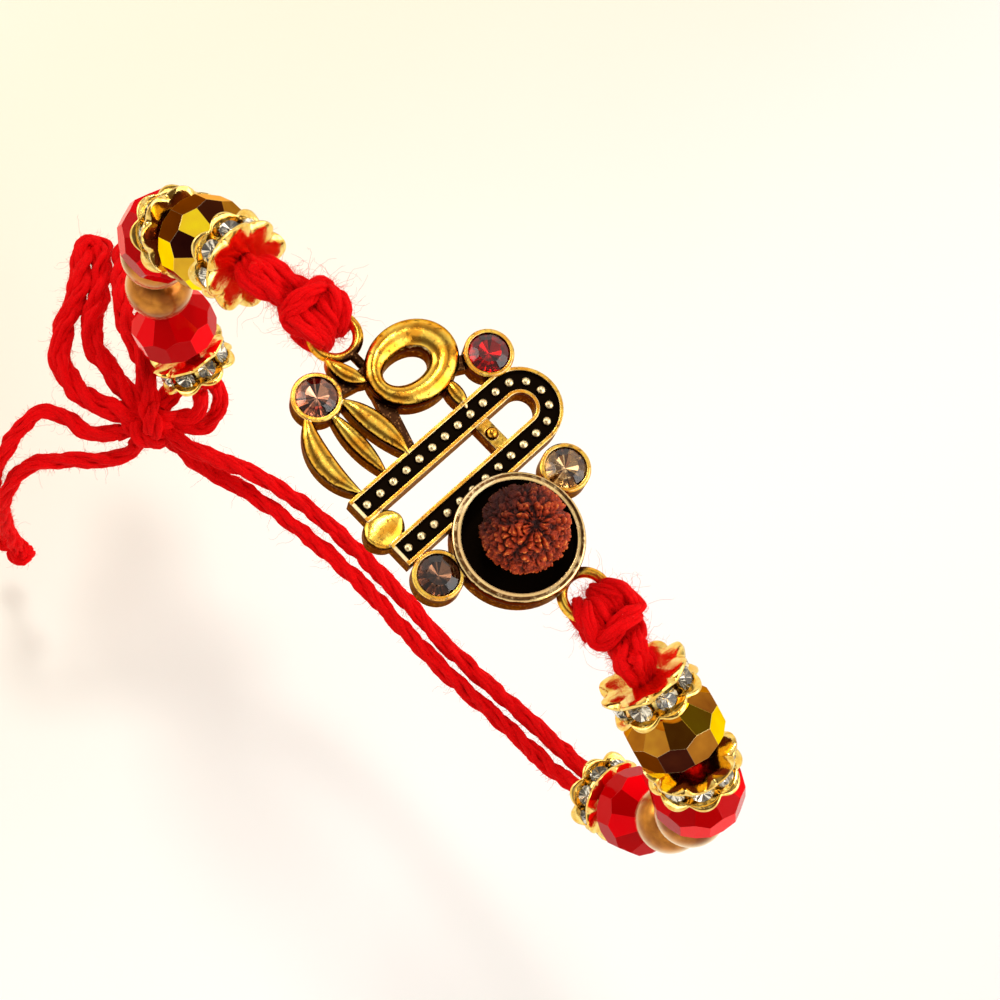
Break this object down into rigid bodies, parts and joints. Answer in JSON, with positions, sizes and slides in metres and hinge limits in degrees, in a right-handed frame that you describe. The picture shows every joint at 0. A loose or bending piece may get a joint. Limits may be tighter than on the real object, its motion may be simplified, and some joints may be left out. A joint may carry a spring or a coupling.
{
  "type": "rudraksha bead bracelet",
  "caption": "Bracelet with an openwork gold charm that holds a rudraksha bead, crystal and pearl beads on each side, and red yarn tied in a bow at the back.",
  "frame": {"origin": "middle of the wrist hollow, where a wrist's own axis would run", "axes": "+X along the front of the bracelet, towards the rudraksha bead; +Y along the wrist; +Z outwards through the charm"},
  "size_m": [0.0853, 0.0343, 0.0772],
  "materials": {
    "antique_gold": "cast, antiqued dark in the recesses and polished on the raised parts",
    "bright_gold": "bright gold plate",
    "bronze_crystal": "cut glass with an opaque bronze-gold coat",
    "red_crystal": "cut opaque red glass",
    "bronze_pearl": "satin bronze-gold pearl coat",
    "clear_stone": "cut clear stones with a foiled back",
    "champagne_stone": "cut stone with a foiled back",
    "crimson_stone": "cut stone with a foiled back",
    "smoky_stone": "cut stone with a foiled back",
    "rudraksha": "deeply wrinkled seed, oiled",
    "red_yarn": "fuzzy twisted wool yarn"
  },
  "bodies": {
    "root": {"back_yarn_left_1": "red_yarn", "back_yarn_left_2": "red_yarn", "back_yarn_right_1": "red_yarn", "back_yarn_right_2": "red_yarn", "bead_cord_left": "red_yarn", "bead_cord_right": "red_yarn", "bow_loop_long": "red_yarn", "bow_loop_short": "red_yarn", "charm": "antique_gold", "end_knot_long": "red_yarn", "end_knot_short": "red_yarn", "front_yarn_left_1": "red_yarn", "front_yarn_left_2": "red_yarn", "front_yarn_right_1": "red_yarn", "front_yarn_right_2": "red_yarn", "gold_crystal_left": "bronze_crystal", "gold_crystal_right": "bronze_crystal", "pearl_left_1": "bronze_pearl", "pearl_left_2": "bronze_pearl", "pearl_right_1": "bronze_pearl", "pearl_right_2": "bronze_pearl", "red_crystal_left_1": "red_crystal", "red_crystal_left_2": "red_crystal", "red_crystal_right_1": "red_crystal", "red_crystal_right_2": "red_crystal", "rondelle_left_1": "bright_gold", "rondelle_left_2": "bright_gold", "rondelle_left_3": "bright_gold", "rondelle_right_1": "bright_gold", "rondelle_right_2": "bright_gold", "rondelle_right_3": "bright_gold", "rondelle_stones_left_1": "clear_stone", "rondelle_stones_left_2": "clear_stone", "rondelle_stones_left_3": "clear_stone", "rondelle_stones_right_1": "clear_stone", "rondelle_stones_right_2": "clear_stone", "rondelle_stones_right_3": "clear_stone", "rudraksha_bead": "rudraksha", "stone_left": "champagne_stone", "stone_red": "crimson_stone", "stone_right_lower": "smoky_stone", "stone_right_upper": "champagne_stone", "tie_end_long": "red_yarn", "tie_end_short": "red_yarn", "tie_knot": "red_yarn", "yarn_hitch_left": "red_yarn", "yarn_hitch_right": "red_yarn"}
  },
  "joints": []
}
